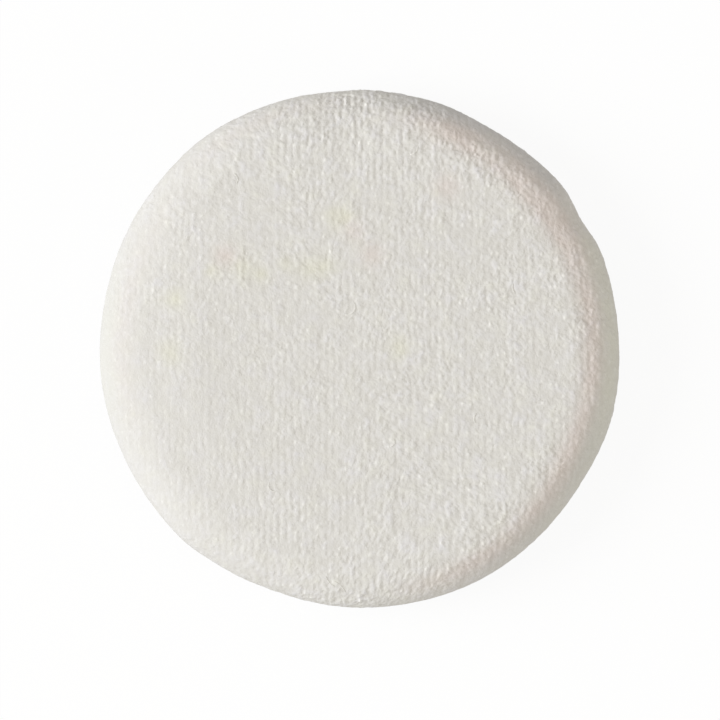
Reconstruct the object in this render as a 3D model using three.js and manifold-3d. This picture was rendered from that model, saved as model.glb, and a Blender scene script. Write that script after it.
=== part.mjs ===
// Round velour powder puff: two sewn panels over a foam disc, with a ribbon finger band across the back.
// It lies on its back with the powder face up. The band runs along Y, and the seam lies level.

import * as THREE from 'three';
import { mergeVertices } from 'three/addons/utils/BufferGeometryUtils.js';
import Module from 'manifold-3d';

const wasm = await Module();
wasm.setup();

// Body of the puff, in millimetres
const seamDiameter = 65;
const faceRise = 5.2;
const crownRise = 0.6;
const faceRoundWidth = 6;
const backDrop = 5;
const backRoundWidth = 7;

// Velour panels, and how far their edges turn in at the seam
const coverThickness = 1.6;
const allowanceWidth = 5.5;
const allowanceThickness = 0.7;

// Ribbon of the finger band
const bandWidth = 19;
const bandThickness = 0.4;

// Thread, its stitches, and the gap that the puff was turned through, at an angle from +X in degrees
const threadDiameter = 0.3;
const stitchLength = 5.5;
const threadTail = 1.8;
const turningGap = 20;
const closingAngle = 55;

// Space left between pieces that touch
const clearance = 0.3;

// Where the rim leaves its circle: band ends and closing stitches draw it in, and the filling swells it.
// Each mark has its angle from +X in degrees, its shift outwards and its spread along the rim. Shifts fade to
// nothing in the middle of the puff, by a power of the radius.
const bandPull = 0.45;
const closingPull = 0.7;
const closingPullSpread = 3.2;
const puckerSwell = 0.4;
const puckerSpread = 7;
const fillSwell = 0.34;
const slightSwell = 0.2;
const fillSwellSpread = 9;
const rimShiftFalloff = 4;
const rimMarks = [
  { angle: 90, shift: -bandPull, spread: bandWidth / 2 },
  { angle: 270, shift: -bandPull, spread: bandWidth / 2 },
  { angle: closingAngle, shift: -closingPull, spread: closingPullSpread },
  { angle: closingAngle, shift: puckerSwell, spread: puckerSpread },
  { angle: 10, shift: fillSwell, spread: fillSwellSpread },
  { angle: 155, shift: fillSwell, spread: fillSwellSpread },
  { angle: 325, shift: slightSwell, spread: fillSwellSpread },
];

// How finely round forms are cut into facets
const turnSegments = 72;
const crownSteps = 2;
const coverArcSteps = 4;
const innerArcSteps = 2;
const threadSides = 6;

// Sizes that follow from the ones above
const seamRadius = seamDiameter / 2;
const faceShoulder = seamRadius - faceRoundWidth;
const backShoulder = seamRadius - backRoundWidth;
const allowanceEdge = seamRadius - allowanceWidth;
const stitchRadius = (allowanceEdge + seamRadius - coverThickness) / 2;
const threadRadius = threadDiameter / 2;
const holeWidth = threadDiameter + 2 * clearance;
const seamHalfGap = clearance / 2;
const allowanceTop = seamHalfGap + allowanceThickness;
const threadHeight = allowanceTop + clearance + threadRadius;
const grooveHalfHeight = threadHeight + threadRadius + clearance;

// Shift of the rim, outwards from its circle, at an angle in radians
function rimShift(angle) {
  let shift = 0;
  for (const mark of rimMarks) {
    const turn = angle - THREE.MathUtils.degToRad(mark.angle);
    const arc = Math.atan2(Math.sin(turn), Math.cos(turn)) * seamRadius;
    shift += mark.shift * Math.exp(-((arc / mark.spread) ** 2));
  }
  return shift;
}

// A radius on the plain round puff, moved with the rim and fading towards the middle
function shapedRadius(radius, angle) {
  return radius + rimShift(angle) * (radius / seamRadius) ** rimShiftFalloff;
}

// Points are (radius, height above the seam). The rim is a quarter ellipse from the shoulder to a height near
// the seam. Inset moves it into the puff, to make the inside of a panel or the outside of the foam.
function rimArc(shoulder, roundWidth, rise, inset, endHeight, steps) {
  const across = roundWidth - inset;
  const up = rise - inset;
  const endTurn = Math.asin(endHeight / up);
  const points = [];
  for (let i = 0; i <= steps; i++) {
    const turn = THREE.MathUtils.lerp(Math.PI / 2, endTurn, i / steps);
    points.push(new THREE.Vector2(shoulder + across * Math.cos(turn), up * Math.sin(turn)));
  }
  return points;
}

// Crowned face from the axis out to the rim
function facePath(inset, endHeight, steps) {
  const points = [];
  for (let i = 0; i < crownSteps; i++) {
    const share = i / crownSteps;
    const crown = crownRise * (1 - share ** 2) ** 2;
    points.push(new THREE.Vector2(faceShoulder * share, faceRise - inset + crown));
  }
  return [...points, ...rimArc(faceShoulder, faceRoundWidth, faceRise, inset, endHeight, steps)];
}

// Flat back from the axis out to the rim, below the seam
function backPath(inset, endHeight, steps) {
  const arc = rimArc(backShoulder, backRoundWidth, backDrop, inset, endHeight, steps);
  const points = [new THREE.Vector2(0, backDrop - inset), ...arc];
  return points.map((point) => new THREE.Vector2(point.x, -point.y));
}

// Closed mesh to solid, with shared corners merged and the empty triangles on the axis left out
function solidFrom(geometry) {
  const bare = geometry.clone();
  bare.deleteAttribute('normal');
  bare.deleteAttribute('uv');
  const merged = mergeVertices(bare);
  const index = merged.index.array;
  const triangles = [];
  for (let i = 0; i < index.length; i += 3) {
    const [a, b, c] = index.subarray(i, i + 3);
    if (a !== b && b !== c && c !== a) {
      triangles.push(a, b, c);
    }
  }
  const mesh = new wasm.Mesh({
    numProp: 3,
    vertProperties: Float32Array.from(merged.attributes.position.array),
    triVerts: Uint32Array.from(triangles),
  });
  return new wasm.Manifold(mesh);
}

function geometryFrom(solid) {
  const mesh = solid.getMesh();
  const geometry = new THREE.BufferGeometry();
  geometry.setAttribute('position', new THREE.BufferAttribute(mesh.vertProperties, mesh.numProp));
  geometry.setIndex(new THREE.BufferAttribute(mesh.triVerts, 1));
  geometry.computeVertexNormals();
  return geometry;
}

// A path turned about the Z axis, with every corner moved with the rim
function turned(path) {
  const geometry = new THREE.LatheGeometry(path, turnSegments);
  geometry.rotateX(Math.PI / 2);
  const position = geometry.attributes.position;
  for (let i = 0; i < position.count; i++) {
    const x = position.getX(i);
    const y = position.getY(i);
    const angle = Math.atan2(y, x);
    const radius = shapedRadius(Math.hypot(x, y), angle);
    position.setXY(i, radius * Math.cos(angle), radius * Math.sin(angle));
  }
  return solidFrom(geometry);
}

// Strip along Y of a given width, taller and longer than the puff
function stripAlongBand(width) {
  return solidFrom(new THREE.BoxGeometry(width, 2 * seamDiameter, seamDiameter));
}

// Even stitches between two angles, each as the angle of its hole
function stitchAngles(start, end) {
  const count = Math.max(2, Math.round(((end - start) * stitchRadius) / stitchLength));
  const pitch = (end - start) / count;
  return Array.from({ length: count }, (_, i) => start + pitch * (i + 0.5));
}

function stitchPoint(angle, height) {
  const radius = shapedRadius(stitchRadius, angle);
  return new THREE.Vector3(radius * Math.cos(angle), radius * Math.sin(angle), height);
}

// Running stitch: the thread lies in turn on the face's allowance and under the back's, through each hole
function stitchPath(angles) {
  const tail = threadTail / stitchRadius;
  const points = [stitchPoint(angles[0] - tail, threadHeight)];
  let height = threadHeight;
  for (const angle of angles) {
    points.push(stitchPoint(angle, height));
    height = -height;
    points.push(stitchPoint(angle, height));
  }
  points.push(stitchPoint(angles.at(-1) + tail, height));
  return points;
}

// Round thread along straight runs, mitred where it turns
function threadAlong(points) {
  const position = [];
  points.forEach((point, i) => {
    const before = points[Math.max(i - 1, 0)];
    const after = points[Math.min(i + 1, points.length - 1)];
    const arriving = point.clone().sub(before).normalize();
    const leaving = after.clone().sub(point).normalize();
    const along = arriving.clone().add(leaving).normalize();
    const stretch = 1 / Math.max(along.dot(arriving), along.dot(leaving));
    const outwards = new THREE.Vector3(point.x, point.y, 0).normalize();
    const sideways = along.clone().cross(outwards).normalize();
    for (let k = 0; k < threadSides; k++) {
      const turn = (2 * Math.PI * k) / threadSides;
      const corner = point.clone();
      corner.addScaledVector(outwards, threadRadius * Math.cos(turn));
      corner.addScaledVector(sideways, threadRadius * Math.sin(turn) * stretch);
      position.push(...corner.toArray());
    }
  });
  const index = [];
  const last = (points.length - 1) * threadSides;
  for (let k = 0; k < threadSides; k++) {
    const next = (k + 1) % threadSides;
    for (let ring = 0; ring < last; ring += threadSides) {
      index.push(ring + k, ring + next, ring + threadSides + k);
      index.push(ring + next, ring + threadSides + next, ring + threadSides + k);
    }
    if (k > 0 && next > 0) {
      index.push(0, next, k);
      index.push(last, last + k, last + next);
    }
  }
  const geometry = new THREE.BufferGeometry();
  geometry.setAttribute('position', new THREE.Float32BufferAttribute(position, 3));
  geometry.setIndex(index);
  geometry.computeVertexNormals();
  return geometry;
}

// Needle holes for a row of stitches, through everything that the seam holds
function stitchHoles(angles) {
  let holes = null;
  for (const angle of angles) {
    const box = new THREE.BoxGeometry(holeWidth, holeWidth, 2 * grooveHalfHeight);
    box.rotateZ(angle);
    box.translate(...stitchPoint(angle, 0).toArray());
    const hole = solidFrom(box);
    holes = holes ? holes.add(hole) : hole;
  }
  return holes;
}

// The closing stitches fill the turning gap, and the machine seam takes the rest of the way round
const gapHalfAngle = turningGap / 2 / stitchRadius;
const gapMiddle = THREE.MathUtils.degToRad(closingAngle);
const closingStitches = stitchAngles(gapMiddle - gapHalfAngle, gapMiddle + gapHalfAngle);
const seamStitches = stitchAngles(gapMiddle + gapHalfAngle, gapMiddle + 2 * Math.PI - gapHalfAngle);
const needleHoles = stitchHoles([...closingStitches, ...seamStitches]);

// The band lies flush in the back: down from the seam, under the puff and up again, with its ends in the seam
function bandSolid() {
  const outside = backPath(0, 0, coverArcSteps);
  const inside = backPath(bandThickness, bandThickness / 2, coverArcSteps).reverse();
  const path = [
    ...outside,
    new THREE.Vector2(seamRadius, bandThickness / 2),
    new THREE.Vector2(allowanceEdge, bandThickness / 2),
    new THREE.Vector2(allowanceEdge, -bandThickness / 2),
    ...inside,
  ];
  return turned(path).intersect(stripAlongBand(bandWidth)).subtract(needleHoles);
}

// Room that the band takes in the covers, open to the outside
function bandChannel() {
  const halfHeight = bandThickness / 2 + clearance;
  const depth = bandThickness + clearance;
  const outer = seamRadius + coverThickness;
  const bottom = -backDrop - coverThickness;
  const path = [
    new THREE.Vector2(0, bottom),
    new THREE.Vector2(outer, bottom),
    new THREE.Vector2(outer, halfHeight),
    new THREE.Vector2(allowanceEdge - clearance, halfHeight),
    new THREE.Vector2(allowanceEdge - clearance, -halfHeight),
    ...backPath(depth, halfHeight, coverArcSteps).reverse(),
  ];
  return turned(path).intersect(stripAlongBand(bandWidth + 2 * clearance));
}

const channel = bandChannel();

function faceCoverSolid() {
  const path = [
    ...facePath(0, seamHalfGap, coverArcSteps),
    new THREE.Vector2(allowanceEdge, seamHalfGap),
    new THREE.Vector2(allowanceEdge, allowanceTop),
    ...facePath(coverThickness, allowanceTop, innerArcSteps).reverse(),
  ];
  return turned(path.reverse()).subtract(channel).subtract(needleHoles);
}

function backCoverSolid() {
  const path = [
    ...backPath(0, seamHalfGap, coverArcSteps),
    new THREE.Vector2(allowanceEdge, -seamHalfGap),
    new THREE.Vector2(allowanceEdge, -allowanceTop),
    ...backPath(coverThickness, allowanceTop, innerArcSteps).reverse(),
  ];
  return turned(path).subtract(channel).subtract(needleHoles);
}

// Foam disc, grooved round its side where the turned-in edges and the stitches press into it
function foamSolid() {
  const inset = coverThickness + clearance;
  const grooveRadius = allowanceEdge - clearance;
  const path = [
    ...backPath(inset, grooveHalfHeight, innerArcSteps),
    new THREE.Vector2(grooveRadius, -grooveHalfHeight),
    new THREE.Vector2(grooveRadius, grooveHalfHeight),
    ...facePath(inset, grooveHalfHeight, innerArcSteps).reverse(),
  ];
  return turned(path);
}

// Colours seen on the velour, with the hidden pieces in the shades that they usually have
const velour = { color: 0xdad7d0, roughness: 0.95, metalness: 0 };
const foam = { color: 0xf0ead8, roughness: 0.9, metalness: 0 };
const satin = { color: 0xf0ece4, roughness: 0.45, metalness: 0 };
const thread = { color: 0xf2efe8, roughness: 0.7, metalness: 0 };

const puff = new THREE.Group();
puff.position.z = backDrop;

function addPiece(name, geometry, finish) {
  const piece = new THREE.Mesh(geometry, new THREE.MeshStandardMaterial(finish));
  piece.name = name;
  puff.add(piece);
}

addPiece('face_cover', geometryFrom(faceCoverSolid()), velour);
addPiece('back_cover', geometryFrom(backCoverSolid()), velour);
addPiece('foam_pad', geometryFrom(foamSolid()), foam);
addPiece('finger_band', geometryFrom(bandSolid()), satin);
addPiece('seam_thread', threadAlong(stitchPath(seamStitches)), thread);
addPiece('closing_thread', threadAlong(stitchPath(closingStitches)), thread);

const part = new THREE.Group();
part.add(puff);

export default part;
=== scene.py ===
import math

import bmesh
import bpy
import numpy as np
from mathutils import Matrix, Vector
from mathutils.bvhtree import BVHTree


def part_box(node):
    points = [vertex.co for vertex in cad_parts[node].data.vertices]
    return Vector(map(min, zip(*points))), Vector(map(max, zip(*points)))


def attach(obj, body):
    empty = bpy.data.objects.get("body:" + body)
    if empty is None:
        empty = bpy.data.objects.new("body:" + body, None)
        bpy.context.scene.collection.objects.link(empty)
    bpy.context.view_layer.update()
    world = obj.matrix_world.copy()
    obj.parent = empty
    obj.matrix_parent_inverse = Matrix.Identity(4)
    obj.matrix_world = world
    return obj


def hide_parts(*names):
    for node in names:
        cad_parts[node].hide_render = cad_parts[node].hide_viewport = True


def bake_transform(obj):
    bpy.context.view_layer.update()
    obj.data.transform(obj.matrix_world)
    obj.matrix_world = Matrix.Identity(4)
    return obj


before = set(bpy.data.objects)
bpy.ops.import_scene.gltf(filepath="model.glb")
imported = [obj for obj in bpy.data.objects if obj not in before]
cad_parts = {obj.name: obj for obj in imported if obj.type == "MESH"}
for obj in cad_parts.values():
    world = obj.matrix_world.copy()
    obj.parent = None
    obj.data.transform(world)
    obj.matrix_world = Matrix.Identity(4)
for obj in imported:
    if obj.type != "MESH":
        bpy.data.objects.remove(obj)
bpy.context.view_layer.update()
mm = 0.001
weldDistance = 0.001 * mm

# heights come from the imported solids, widths are the maker's sizes
faceLow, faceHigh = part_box("face_cover")
backLow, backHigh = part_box("back_cover")
seamHeight = (faceLow.z + backHigh.z) / 2

puff = {
    "seamDiameter": 65 * mm,
    "lipRadius": 0.8 * mm,      # the fold where each panel turns in at the seam
    "seamHalfGap": 0.04 * mm,
    "panelThickness": 1.6 * mm,
    "allowanceWidth": 5.5 * mm,
    "allowanceThickness": 0.7 * mm,
    "rimShiftFalloff": 4,
    "crownSteps": 60,           # points of the section over the crown, round the rim and down the fold
    "roundSteps": 80,
    "foldSteps": 16,
    "liningTurns": (20, 40, 60, 80),    # degrees up the inside of the rim
    "liningShares": (1, 0.75, 0.5, 0.25, 0),
}
seamRadius = puff["seamDiameter"] / 2

# where the rim leaves its circle: degrees from +X, shift outwards, spread along the rim
rimMarks = [
    {"angle": 90, "shift": -0.45 * mm, "spread": 9.5 * mm},   # band ends draw the rim in
    {"angle": 270, "shift": -0.45 * mm, "spread": 9.5 * mm},
    {"angle": 55, "shift": -0.70 * mm, "spread": 3.2 * mm},   # closing stitches, with a swell on each side
    {"angle": 55, "shift": 0.40 * mm, "spread": 7 * mm},
    {"angle": 10, "shift": 0.34 * mm, "spread": 9 * mm},      # fuller filling
    {"angle": 155, "shift": 0.34 * mm, "spread": 9 * mm},
    {"angle": 325, "shift": 0.20 * mm, "spread": 9 * mm},
    {"angle": 121, "shift": -0.16 * mm, "spread": 4 * mm},    # slack places
    {"angle": 194, "shift": -0.14 * mm, "spread": 6 * mm},
    {"angle": 230, "shift": -0.10 * mm, "spread": 6 * mm},
    {"angle": 254, "shift": 0.24 * mm, "spread": 4 * mm},
    {"angle": 267, "shift": 0.18 * mm, "spread": 3.5 * mm},
    {"angle": 95, "shift": 0.22 * mm, "spread": 4 * mm},
    {"angle": 355, "shift": -0.10 * mm, "spread": 4.5 * mm},
    {"angle": 163, "shift": -0.14 * mm, "spread": 5 * mm},
]


def turnedBy(angle, degrees):
    turn = angle - math.radians(degrees)
    return np.arctan2(np.sin(turn), np.cos(turn))


def swellAt(value, middle, spread):
    return np.exp(-(((value - middle) / spread) ** 2))


def rimShift(angle):
    shift = np.zeros_like(angle)
    for mark in rimMarks:
        arc = turnedBy(angle, mark["angle"]) * seamRadius
        shift += mark["shift"] * swellAt(arc, 0, mark["spread"])
    return shift


def shapedRadius(radius, angle):
    return radius + rimShift(angle) * (radius / seamRadius) ** puff["rimShiftFalloff"]


def anglesOf(points):
    return np.arctan2(points[:, 1], points[:, 0])


def radiiOf(points):
    return np.hypot(points[:, 0], points[:, 1])


def fromPolar(radius, angle, height):
    return np.stack([radius * np.cos(angle), radius * np.sin(angle), height], 1)


def linkPiece(name, mesh):
    piece = bpy.data.objects.new(name, mesh)
    bpy.context.scene.collection.objects.link(piece)
    return piece


def meshFrom(bm, name):
    mesh = bpy.data.meshes.new(name)
    bm.to_mesh(mesh)
    bm.free()
    return mesh


def storeSmooth(bm, mesh):
    for face in bm.faces:
        face.smooth = True
    bm.to_mesh(mesh)
    bm.free()


def coordinates(mesh):
    flat = np.empty(len(mesh.vertices) * 3)
    mesh.vertices.foreach_get("co", flat)
    return flat.reshape(-1, 3)


def setCoordinates(mesh, points):
    mesh.vertices.foreach_set("co", points.astype(np.float32).ravel())
    mesh.update()


def setCloth(mesh, cloth):
    corner = np.empty(len(mesh.loops), int)
    mesh.loops.foreach_get("vertex_index", corner)
    mesh.uv_layers.new(name="cloth").data.foreach_set("uv", cloth[corner].astype(np.float32).ravel())


def setAttribute(mesh, name, values):
    mesh.attributes.new(name, "FLOAT", "POINT").data.foreach_set("value", values.astype(np.float32))


def normals(mesh):
    flat = np.empty(len(mesh.vertices) * 3, np.float32)
    mesh.vertex_normals.foreach_get("vector", flat)
    return flat.reshape(-1, 3)


def smoothStep(value, low, high):
    share = np.clip((value - low) / (high - low), 0, 1)
    return share * share * (3 - 2 * share)


# Camera: square on to the face, with the ribs upright in the picture
view = {
    "pictureSize": 720,
    "puffMiddle": (358.7, 348.6),   # pixels, from the top left
    "puffRadius": 259.8,            # pixels
    "roll": 25,                     # degrees that the band runs off the ribs
    "distance": 0.7,
    "clip": (0.01, 10),
}


def makeCamera():
    data = bpy.data.cameras.new("camera")
    camera = bpy.data.objects.new("camera", data)
    bpy.context.scene.collection.objects.link(camera)
    pixel = seamRadius / view["puffRadius"]
    data.lens = data.sensor_width * view["distance"] / (pixel * view["pictureSize"])
    data.clip_start, data.clip_end = view["clip"]
    turn = Matrix.Rotation(math.radians(view["roll"]), 4, "Z")
    half = view["pictureSize"] / 2
    across = (half - view["puffMiddle"][0]) * pixel
    upwards = (view["puffMiddle"][1] - half) * pixel
    middle = Matrix.Translation((0, 0, seamHeight))
    camera.matrix_world = middle @ turn @ Matrix.Translation((across, upwards, view["distance"]))
    bpy.context.scene.camera = camera
    print("camera: lens", round(data.lens), "mm")


makeCamera()


# Light: a soft key from the left of the picture, a weak fill from its right, and a warm even surround
lamps = [
    {"name": "key", "azimuth": 181, "elevation": 32.0, "distance": 1.6, "size": 1.1, "power": 20.4,
     "colour": (0.95, 0.97, 1.0)},
    {"name": "fill", "azimuth": 330, "elevation": 18, "distance": 1.6, "size": 0.8, "power": 3.6,
     "colour": (1.0, 0.97, 0.9)},
]   # azimuths are degrees in the picture, from its right
surround = (0.545, 0.525, 0.486)
ground = {
    "colour": 0.58,
    "shadow": 0.09,     # share of the floor's white that takes shadow
    "size": 3.0,
    "drop": 0.02 * mm,
    "clearTo": 4 * mm,  # light from below reaches what lies on it, less and less up to this height
}


def addNode(tree, kind, **sockets):
    node = tree.nodes.new(kind)
    for name, value in sockets.items():
        node.inputs[name.replace("_", " ")].default_value = value
    return node


def mathNode(tree, operation, first, second):
    node = tree.nodes.new("ShaderNodeMath")
    node.operation = operation
    for socket, value in zip(node.inputs, (first, second)):
        if isinstance(value, bpy.types.NodeSocket):
            tree.links.new(value, socket)
        else:
            socket.default_value = value
    return node.outputs[0]


def mixShaders(tree, share, first, second):
    mix = tree.nodes.new("ShaderNodeMixShader")
    tree.links.new(share, mix.inputs[0])
    tree.links.new(first, mix.inputs[1])
    tree.links.new(second, mix.inputs[2])
    return mix.outputs[0]


def seenDirectly(tree):
    path = tree.nodes.new("ShaderNodeLightPath")
    glossy = mathNode(tree, "MAXIMUM", path.outputs["Is Camera Ray"], path.outputs["Is Glossy Ray"])
    return mathNode(tree, "MAXIMUM", glossy, path.outputs["Is Transmission Ray"])


def makeLamp(lamp):
    data = bpy.data.lights.new(lamp["name"], "AREA")
    data.shape = "DISK"
    data.size = lamp["size"]
    data.energy = lamp["power"]
    data.color = lamp["colour"]
    thing = bpy.data.objects.new(lamp["name"], data)
    bpy.context.scene.collection.objects.link(thing)
    azimuth = math.radians(lamp["azimuth"] + view["roll"])
    elevation = math.radians(lamp["elevation"])
    level = math.cos(elevation)
    towards = Vector((math.cos(azimuth) * level, math.sin(azimuth) * level, math.sin(elevation)))
    thing.location = towards * lamp["distance"]
    thing.rotation_euler = towards.to_track_quat("Z", "Y").to_euler()


def makeLight():
    scene = bpy.context.scene
    scene.view_settings.view_transform = "Standard"
    for lamp in lamps:
        makeLamp(lamp)
    world = bpy.data.worlds.new("surround")
    scene.world = world
    world.use_nodes = True
    tree = world.node_tree
    tree.nodes.clear()
    out = tree.nodes.new("ShaderNodeOutputWorld")
    around = addNode(tree, "ShaderNodeBackground", Color=(*surround, 1))
    white = addNode(tree, "ShaderNodeBackground", Color=(1, 1, 1, 1))
    tree.links.new(mixShaders(tree, seenDirectly(tree), around.outputs[0], white.outputs[0]), out.inputs[0])
    print("light: key, fill and surround")


def makeFloor():
    bm = bmesh.new()
    bmesh.ops.create_grid(bm, x_segments=1, y_segments=1, size=ground["size"] / 2)
    bmesh.ops.translate(bm, verts=bm.verts, vec=(0, 0, backLow.z - ground["drop"]))
    floor = linkPiece("floor", meshFrom(bm, "floor"))
    material = bpy.data.materials.new("pale_floor")
    material.use_nodes = True
    tree = material.node_tree
    tree.nodes.clear()
    out = tree.nodes.new("ShaderNodeOutputMaterial")
    add = tree.nodes.new("ShaderNodeAddShader")
    grey = ground["colour"]
    share = ground["shadow"]
    plain = addNode(tree, "ShaderNodeBsdfDiffuse", Color=(grey, grey, grey, 1))
    shaded = addNode(tree, "ShaderNodeBsdfDiffuse", Color=(share, share, share, 1))
    glow = addNode(tree, "ShaderNodeEmission", Color=(1, 1, 1, 1), Strength=1 - share)
    tree.links.new(shaded.outputs[0], add.inputs[0])
    tree.links.new(glow.outputs[0], add.inputs[1])
    above = mixShaders(tree, seenDirectly(tree), plain.outputs[0], add.outputs[0])
    side = tree.nodes.new("ShaderNodeNewGeometry")
    path = tree.nodes.new("ShaderNodeLightPath")
    clear = tree.nodes.new("ShaderNodeBsdfTransparent")    # from below, the floor is clear
    far = mathNode(tree, "DIVIDE", path.outputs["Ray Length"], ground["clearTo"])
    through = mathNode(tree, "MAXIMUM", side.outputs["Backfacing"], mathNode(tree, "SUBTRACT", 1, far))
    whole = mixShaders(tree, through, above, clear.outputs[0])
    tree.links.new(whole, out.inputs[0])
    floor.data.materials.append(material)
    print("floor: white, with the puff's shadow")


makeLight()
makeFloor()


def mixColour(tree, share, first, second):
    mix = tree.nodes.new("ShaderNodeMix")
    mix.data_type = "RGBA"
    for socket, value in ((mix.inputs["Factor"], share), (mix.inputs[6], first), (mix.inputs[7], second)):
        if isinstance(value, bpy.types.NodeSocket):
            tree.links.new(value, socket)
        elif isinstance(value, tuple):
            socket.default_value = (*value, 1)
        else:
            socket.default_value = value
    return mix.outputs[2]


finishSockets = {
    "roughness": "Roughness",
    "specular": "Specular IOR Level",
    "sheen": "Sheen Weight",
    "sheenRoughness": "Sheen Roughness",
}
noiseMiddle = (0.3, 0.7)    # most values of a noise lie between these


def startMaterial(name, finish):
    material = bpy.data.materials.new(name)
    material.use_nodes = True
    tree = material.node_tree
    shader = tree.nodes["Principled BSDF"]
    for key, socket in finishSockets.items():
        if key in finish:
            shader.inputs[socket].default_value = finish[key]
    return material, tree, shader


# a noise's scale is its number of cells in a metre of cloth, across the ribs or the ribbon first
def clothNoise(tree, noise):
    cloth = tree.nodes.new("ShaderNodeUVMap")
    cloth.uv_map = "cloth"
    mapping = addNode(tree, "ShaderNodeMapping", Scale=noise["stretch"])
    texture = addNode(tree, "ShaderNodeTexNoise", Scale=noise["scale"], Detail=noise["detail"],
                      Roughness=noise["roughness"])
    tree.links.new(cloth.outputs[0], mapping.inputs["Vector"])
    tree.links.new(mapping.outputs[0], texture.inputs["Vector"])
    return texture.outputs["Fac"]


def spreadOut(tree, value, low, high):
    spread = addNode(tree, "ShaderNodeMapRange", From_Min=noiseMiddle[0], From_Max=noiseMiddle[1],
                     To_Min=low, To_Max=high)
    tree.links.new(value, spread.inputs["Value"])
    return spread.outputs[0]


def attributeNode(tree, name):
    node = tree.nodes.new("ShaderNodeAttribute")
    node.attribute_name = name
    return node.outputs["Fac"]


def addBump(tree, shader, height, finish):
    bump = addNode(tree, "ShaderNodeBump", Strength=finish["bumpStrength"], Distance=finish["bumpDistance"])
    tree.links.new(height, bump.inputs["Height"])
    tree.links.new(bump.outputs[0], shader.inputs["Normal"])


# Velour material: ribs and tufts are in the mesh; single fibres, tints, painted shade in the hollows and at
# the rim's edge, and pale tips with a painted highlight are here
velour = {
    "warm": (0.778, 0.767, 0.668),
    "cool": (0.772, 0.763, 0.822),
    "paintedHollowShade": (0.72, 0.705, 0.675),     # painted shade in the hollows between the tufts
    "paleTipAndHighlight": (0.91, 0.902, 0.868),        # paler fibre with a painted highlight, on the tips of the tufts that stand out
    "tints": {                  # powder and rose marks that use has left on the face; rosy and yellow bands and painted shade along the rim
        "powder": (0.755, 0.748, 0.570),
        "rose": (0.75, 0.643, 0.602),
        "sallow": (0.765, 0.768, 0.670),
        # painted shade: darkens the outer edge of the rim where shade falls
        "paintedRimShade": (0.60, 0.60, 0.62),
    },
    "fibre": {"scale": 4200, "stretch": (1, 0.9, 1), "detail": 2, "roughness": 0.5},
    "patch": {"scale": 140, "stretch": (1, 1, 1), "detail": 4, "roughness": 0.65},
    "mottle": {"scale": 430, "stretch": (1, 1, 1), "detail": 3, "roughness": 0.6},
    "bumpDistance": 0.06 * mm,
    "bumpStrength": 1.0,
    "roughness": 0.95,
    "specular": 0.2,
    "sheen": 0.1,
    "sheenRoughness": 0.5,
}


def makeVelour():
    material, tree, shader = startMaterial("white_velour", velour)
    fibre = clothNoise(tree, velour["fibre"])
    patch = clothNoise(tree, velour["patch"])
    mottle = clothNoise(tree, velour["mottle"])
    clean = mixColour(tree, mottle, velour["warm"], velour["cool"])
    # painted shade in the hollows between the tufts
    colour = mixColour(tree, attributeNode(tree, "outOfHollowShade"), velour["paintedHollowShade"], clean)
    # pale tips: paler fibre with a painted highlight
    colour = mixColour(tree, attributeNode(tree, "paleTipAndHighlight"), colour, velour["paleTipAndHighlight"])
    # tints, one of them painted shade at the rim's edge
    for name, tint in velour["tints"].items():
        faint = mathNode(tree, "MULTIPLY", attributeNode(tree, name), patch)
        colour = mixColour(tree, faint, colour, tint)
    tree.links.new(colour, shader.inputs["Base Color"])
    addBump(tree, shader, fibre, velour)
    return material


# Velour panels: a grid drawn out to a disc, filled by a cloth run, then ribs and tufts raised on it
pileRoom = 0.12 * mm    # the panel stands this far inside its solid, for the pile
facePanel = {
    "name": "velour_face",
    "node": "face_cover",
    "up": 1,
    "crown": 0.2 * mm,
    "rise": faceHigh.z - seamHeight - 0.45 * mm - pileRoom,
    "roundWidth": 6.0 * mm,     # how far in from the seam the rim starts to roll
    "roundness": 1.85,          # 2 rolls the rim as an ellipse, less is flatter
    "cells": 560,
    "seed": 41,
    "wornRim": True,
}
backPanel = {
    "name": "velour_back",
    "node": "back_cover",
    "up": -1,
    "crown": 0,
    "rise": seamHeight - backLow.z - pileRoom,
    "roundWidth": 7 * mm,
    "roundness": 2,
    "cells": 300,
    "seed": 42,
    "wornRim": False,
}
# how use has shaped the rim of the face: angles and spreads are degrees from +X
faceRim = {
    "ridgeHeight": 0.19 * mm,   # on one side the seam allowance shows through as a faint ridge
    "ridgeRadius": 29.7 * mm,
    "ridgeWidth": 1.1 * mm,
    "ridgeAngle": 20,
    "ridgeSpread": 95,
    "ridgeBends": [             # the ridge runs nearer to the rim or further in
        {"angle": 45, "spread": 18, "shift": 0.8 * mm},
        {"angle": 355, "spread": 17, "shift": -0.35 * mm},
    ],
    "pinchDepth": 0.42 * mm,    # the rim is pulled down beside the closing stitches
    "pinchRadius": 31.8 * mm,
    "pinchWidth": 1.1 * mm,
    "pinchAngle": 84,
    "pinchSpread": 20,
    "sags": [                   # less full places round the rim
        {"angle": 204, "spread": 58, "depth": 1.0 * mm},
        {"angle": 118, "spread": 17, "depth": 0.55 * mm},
        {"angle": 292, "spread": 22, "depth": 0.55 * mm},
    ],
    "sagStart": 19.5 * mm,
    "sagEnd": 30.4 * mm,
}
filling = {
    "cells": 80,
    "enlarge": 20,      # the cloth run is made this many times larger
    "pressure": 1.0,
    "frames": 20,
    "cap": 0.12 * mm,
}
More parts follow.
